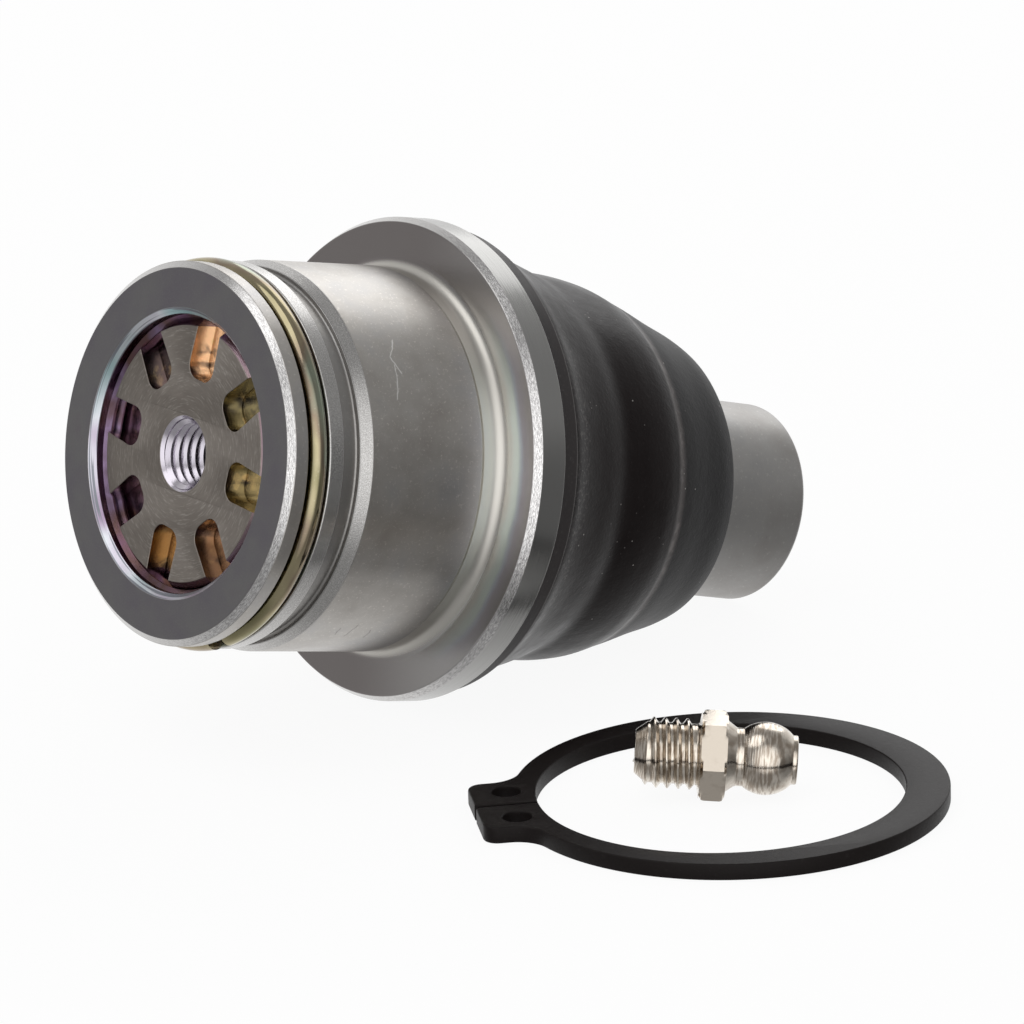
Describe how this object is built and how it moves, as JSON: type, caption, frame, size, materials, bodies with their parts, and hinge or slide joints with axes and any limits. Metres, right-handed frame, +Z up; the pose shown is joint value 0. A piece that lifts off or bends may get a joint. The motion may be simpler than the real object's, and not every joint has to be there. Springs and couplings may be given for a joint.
{
  "type": "suspension ball joint",
  "caption": "Flanged press-in suspension ball joint with slotted screw cap, rubber boot and plain stud, with its loose retaining ring and grease fitting.",
  "frame": {"origin": "middle of the footprint, on the surface that the joint and its loose pieces lie on", "axes": "+Z up; the joint's axis lies in the YZ plane, with the slotted cap towards -Y and the stud towards +Y; the loose retaining ring and grease fitting lie on the +X side"},
  "size_m": [0.085, 0.0712, 0.0441],
  "materials": {
    "housing_steel": "dark grey turned steel, matte face and bright chamfers",
    "cap_steel": "turned grey-brown steel",
    "race_steel": "ground steel",
    "ring_steel": "dark coated steel band",
    "boot_rubber": "satin black rubber",
    "stud_steel": "satin grey steel",
    "wire_steel": "spring wire with an olive-gold tint",
    "phosphate_steel": "dark phosphate finish",
    "plated_steel": "bright nickel plate",
    "spring_steel": "bright spring steel"
  },
  "bodies": {
    "root": {"housing": "housing_steel", "adjuster_cap": "cap_steel", "upper_race": "race_steel", "boot_base_ring": "ring_steel", "wire_ring": "wire_steel", "circlip": "phosphate_steel", "grease_fitting": "plated_steel", "check_spring": "spring_steel"},
    "swing_carrier": {"lower_race": "race_steel", "boot": "boot_rubber"},
    "swing_head": {"boot_stud_ring": "spring_steel"},
    "stud": {"ball_stud": "stud_steel"},
    "check_valve": {"check_ball": "spring_steel"}
  },
  "joints": [
    {"name": "swing_direction", "type": "hinge", "parent": "root", "child": "swing_carrier", "pos_m": [-0.02052, -0.01233, 0.02298], "axis": [0, 0.9724, -0.2334], "continuous": true},
    {"name": "swing", "type": "hinge", "parent": "swing_carrier", "child": "swing_head", "pos_m": [-0.02052, -0.01233, 0.02298], "axis": [1, 0, 0], "range_deg": [-18.03, 25.97], "deforming": ["boot"]},
    {"name": "stud_spin", "type": "hinge", "parent": "swing_head", "child": "stud", "pos_m": [-0.02052, -0.01233, 0.02298], "axis": [0, 0.9539, -0.3002], "continuous": true},
    {"name": "check_valve_lift", "type": "slide", "parent": "root", "child": "check_valve", "axis": [-0.6338, -0.7689, 0.0845], "range_m": [0, 0.0008], "stiffness_N_per_m": 200, "springref_m": -0.001, "deforming": ["check_spring"]}
  ]
}
